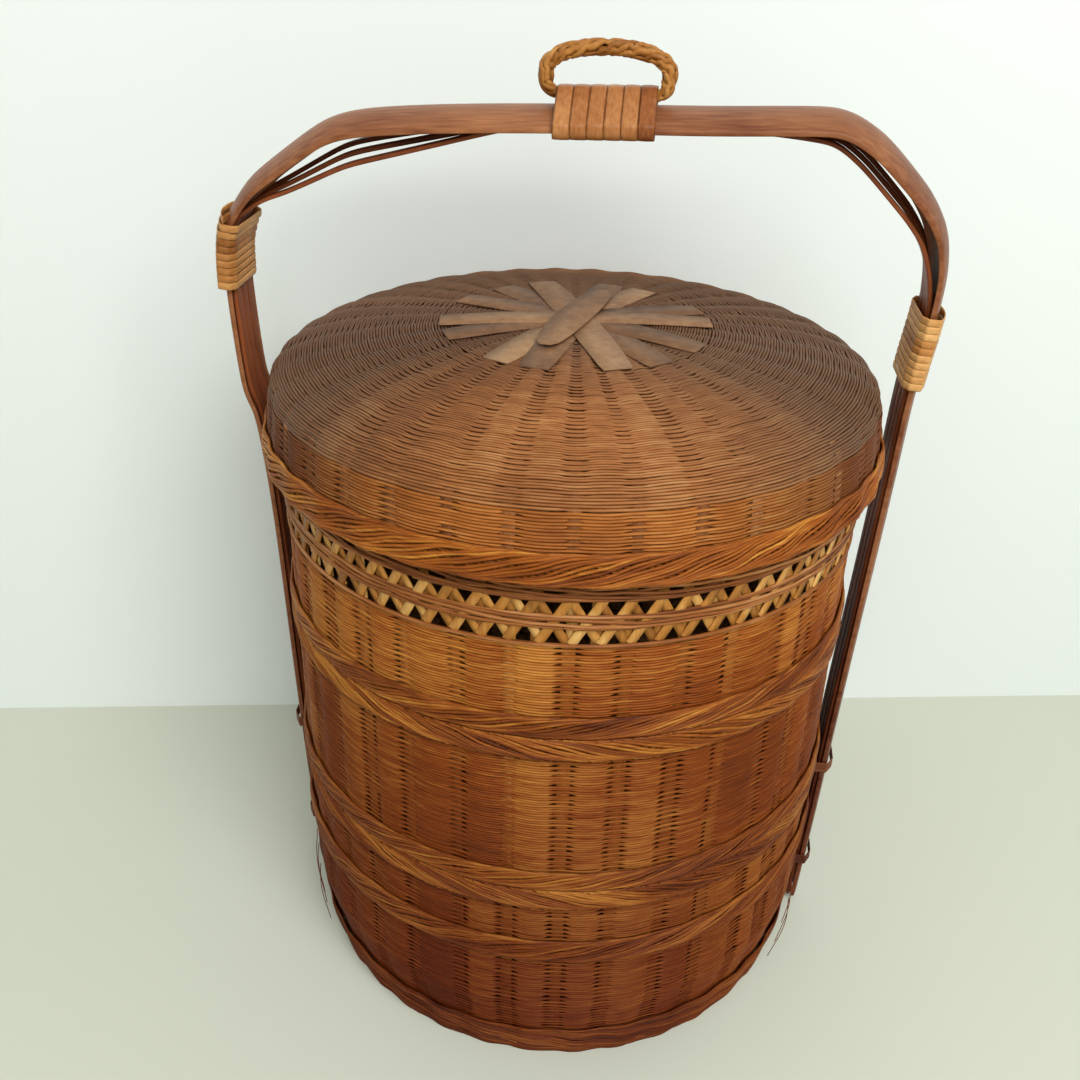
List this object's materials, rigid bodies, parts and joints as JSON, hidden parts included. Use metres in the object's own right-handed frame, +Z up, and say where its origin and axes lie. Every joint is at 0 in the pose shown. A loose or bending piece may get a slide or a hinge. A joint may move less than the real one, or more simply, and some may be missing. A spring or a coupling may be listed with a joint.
{
  "type": "tiered food basket",
  "caption": "Round tiered bamboo food basket: base tray with an arched handle, stacked lift-off trays, openwork collar, low domed lid and a cane carrying ring.",
  "frame": {"origin": "on the floor, on the axis of the round trays", "axes": "+Z up, +X along the handle towards its right leg, -Y towards the pictured front"},
  "size_m": [0.3101, 0.2752, 0.4334],
  "materials": {
    "weave": "aged red-brown split-bamboo weave, satin",
    "braid": "aged bamboo braid, satin",
    "splint": "split bamboo, matt",
    "lattice": "straw-coloured bamboo splints, satin",
    "star": "grey-brown bamboo splints, matt",
    "strap": "smoked bamboo with its skin on, low sheen",
    "binding": "tan cane strip, satin",
    "ring": "golden twisted cane, satin"
  },
  "bodies": {
    "base": {"base_wall": "weave", "base_foot_border": "braid", "base_floor": "weave", "base_batten_upper": "splint", "base_batten_lower": "splint", "base_waist_braid": "braid", "base_rim_braid": "braid", "handle_strap": "strap", "handle_splint_front": "splint", "handle_splint_middle": "splint", "handle_splint_back": "splint", "left_leg_binding": "binding", "right_leg_binding": "binding", "centre_wrap": "binding", "left_lower_lashing": "binding", "left_upper_lashing": "binding", "right_lower_lashing": "binding", "right_upper_lashing": "binding"},
    "middle_tray": {"middle_tray_wall": "weave", "middle_tray_floor": "weave", "middle_tray_spigot": "splint", "middle_tray_foot_braid": "braid", "middle_tray_rim_braid": "braid"},
    "upper_tray": {"upper_tray_wall": "weave", "upper_tray_floor": "weave", "upper_tray_spigot": "splint", "upper_tray_foot_braid": "braid", "upper_tray_lattice": "lattice", "upper_tray_mouth_hoop": "splint"},
    "lid": {"lid_shell": "weave", "lid_rim_braid": "braid", "lid_inner_hoop": "splint", "lid_star_splints": "star", "lid_tie_splint": "star"},
    "ring": {"carrying_ring": "ring"}
  },
  "joints": [
    {"name": "middle_tray_lift", "type": "slide", "parent": "base", "child": "middle_tray", "axis": [0, 0, 1], "range_m": [0, 0.011]},
    {"name": "upper_tray_lift", "type": "slide", "parent": "middle_tray", "child": "upper_tray", "axis": [0, 0, 1], "range_m": [0, 0.011]},
    {"name": "lid_lift", "type": "slide", "parent": "upper_tray", "child": "lid", "axis": [0, 0, 1], "range_m": [0, 0.02]},
    {"name": "ring_tilt", "type": "hinge", "parent": "base", "child": "ring", "pos_m": [0.00895, 0, 0.41146], "axis": [0.9997, 0, 0.0243], "range_deg": [-75, 75]}
  ]
}
